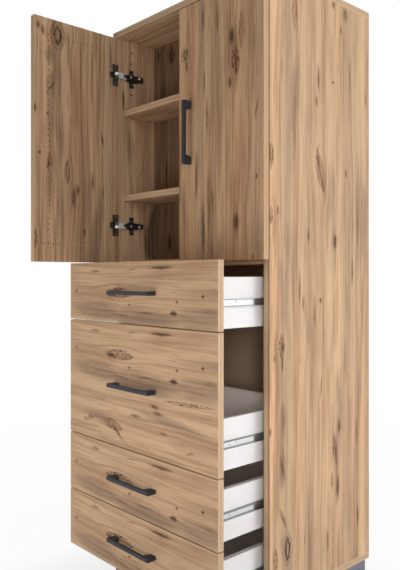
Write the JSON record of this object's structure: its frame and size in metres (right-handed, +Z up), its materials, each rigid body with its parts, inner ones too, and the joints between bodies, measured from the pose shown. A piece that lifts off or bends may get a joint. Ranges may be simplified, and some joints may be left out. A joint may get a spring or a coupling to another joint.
{
  "type": "chifforobe",
  "caption": "Tall cabinet with a pair of hinged doors over shelves and drawers on ball-bearing slides below, standing on low steel leg frames.",
  "frame": {"origin": "on the floor, under the middle of the carcass footprint", "axes": "+X to the cabinet's right as seen from the front, +Y to its back, +Z up; the front faces -Y"},
  "size_m": [0.6235, 0.747, 1.674],
  "materials": {
    "oak_board": "wood-grain foil on particle board, satin",
    "white_board": "white foil, satin",
    "taupe_board": "pale grey-brown foil, satin",
    "beech_dowel": "bare beech",
    "anthracite_metal": "fine powder coat",
    "leg_paint": "powder coat",
    "zinc_steel": "bright zinc",
    "hinge_steel": "nickel",
    "dark_hinge": "dark coating, satin",
    "cage_plastic": "moulded",
    "glide_plastic": "moulded"
  },
  "bodies": {
    "carcass": {"left_side_panel": "oak_board", "right_side_panel": "oak_board", "top_panel": "oak_board", "bottom_panel": "oak_board", "divider_panel": "oak_board", "back_panel": "oak_board", "compartment_back": "oak_board", "upper_shelf": "oak_board", "lower_shelf": "oak_board", "shelf_pins": "zinc_steel", "panel_dowels": "beech_dowel", "left_leg_frame": "leg_paint", "right_leg_frame": "leg_paint", "leg_glides": "glide_plastic", "cabinet_rails": "zinc_steel", "hinge_plates": "dark_hinge", "hinge_arms": "dark_hinge", "carcass_screws": "zinc_steel"},
    "left_door": {"left_door": "oak_board", "left_door_handle": "anthracite_metal", "left_door_hinge_cups": "dark_hinge", "left_door_screws": "zinc_steel"},
    "left_links": {"left_hinge_links": "hinge_steel"},
    "right_door": {"right_door": "oak_board", "right_door_handle": "anthracite_metal", "right_door_hinge_cups": "dark_hinge", "right_door_screws": "zinc_steel"},
    "right_links": {"right_hinge_links": "hinge_steel"},
    "drawer_1": {"drawer_1_front": "oak_board", "drawer_1_handle": "anthracite_metal", "drawer_1_sides": "white_board", "drawer_1_back": "taupe_board", "drawer_1_bottom": "taupe_board", "drawer_1_rails": "zinc_steel", "drawer_1_fasteners": "zinc_steel"},
    "drawer_1_cages": {"drawer_1_ball_cages": "cage_plastic"},
    "drawer_2": {"drawer_2_front": "oak_board", "drawer_2_handle": "anthracite_metal", "drawer_2_sides": "white_board", "drawer_2_back": "taupe_board", "drawer_2_bottom": "taupe_board", "drawer_2_rails": "zinc_steel", "drawer_2_fasteners": "zinc_steel"},
    "drawer_2_cages": {"drawer_2_ball_cages": "cage_plastic"},
    "drawer_3": {"drawer_3_front": "oak_board", "drawer_3_handle": "anthracite_metal", "drawer_3_sides": "white_board", "drawer_3_back": "taupe_board", "drawer_3_bottom": "taupe_board", "drawer_3_rails": "zinc_steel", "drawer_3_fasteners": "zinc_steel"},
    "drawer_3_cages": {"drawer_3_ball_cages": "cage_plastic"},
    "drawer_4": {"drawer_4_front": "oak_board", "drawer_4_handle": "anthracite_metal", "drawer_4_sides": "white_board", "drawer_4_back": "taupe_board", "drawer_4_bottom": "taupe_board", "drawer_4_rails": "zinc_steel", "drawer_4_fasteners": "zinc_steel"},
    "drawer_4_cages": {"drawer_4_ball_cages": "cage_plastic"}
  },
  "joints": [
    {"name": "left_door_swing", "type": "hinge", "parent": "carcass", "child": "left_door", "pos_m": [-0.2935, -0.226, 1.3095], "axis": [0, 0, -1], "range_deg": [-90, 5]},
    {"name": "left_link_swing", "type": "hinge", "parent": "carcass", "child": "left_links", "pos_m": [-0.269, -0.205, 1.3095], "axis": [0, 0, -1], "range_deg": [-106.2, 5.9]},
    {"name": "right_door_swing", "type": "hinge", "parent": "carcass", "child": "right_door", "pos_m": [0.2935, -0.226, 1.3095], "axis": [0, 0, 1], "range_deg": [0, 95]},
    {"name": "right_link_swing", "type": "hinge", "parent": "carcass", "child": "right_links", "pos_m": [0.269, -0.205, 1.3095], "axis": [0, 0, 1], "range_deg": [0, 112.1]},
    {"name": "drawer_1_slide", "type": "slide", "parent": "carcass", "child": "drawer_1", "axis": [0, -1, 0], "range_m": [-0.156, 0.104]},
    {"name": "drawer_1_cage_slide", "type": "slide", "parent": "carcass", "child": "drawer_1_cages", "axis": [0, -1, 0], "range_m": [-0.078, 0.052]},
    {"name": "drawer_2_slide", "type": "slide", "parent": "carcass", "child": "drawer_2", "axis": [0, -1, 0], "range_m": [-0.156, 0.104]},
    {"name": "drawer_2_cage_slide", "type": "slide", "parent": "carcass", "child": "drawer_2_cages", "axis": [0, -1, 0], "range_m": [-0.078, 0.052]},
    {"name": "drawer_3_slide", "type": "slide", "parent": "carcass", "child": "drawer_3", "axis": [0, -1, 0], "range_m": [-0.156, 0.104]},
    {"name": "drawer_3_cage_slide", "type": "slide", "parent": "carcass", "child": "drawer_3_cages", "axis": [0, -1, 0], "range_m": [-0.078, 0.052]},
    {"name": "drawer_4_slide", "type": "slide", "parent": "carcass", "child": "drawer_4", "axis": [0, -1, 0], "range_m": [-0.156, 0.104]},
    {"name": "drawer_4_cage_slide", "type": "slide", "parent": "carcass", "child": "drawer_4_cages", "axis": [0, -1, 0], "range_m": [-0.078, 0.052]}
  ],
  "couplings": [
    {"joint": "left_link_swing", "follows": "left_door_swing", "ratio": 1.18},
    {"joint": "right_link_swing", "follows": "right_door_swing", "ratio": 1.18},
    {"joint": "drawer_1_cage_slide", "follows": "drawer_1_slide", "ratio": 0.5},
    {"joint": "drawer_2_cage_slide", "follows": "drawer_2_slide", "ratio": 0.5},
    {"joint": "drawer_3_cage_slide", "follows": "drawer_3_slide", "ratio": 0.5},
    {"joint": "drawer_4_cage_slide", "follows": "drawer_4_slide", "ratio": 0.5}
  ]
}
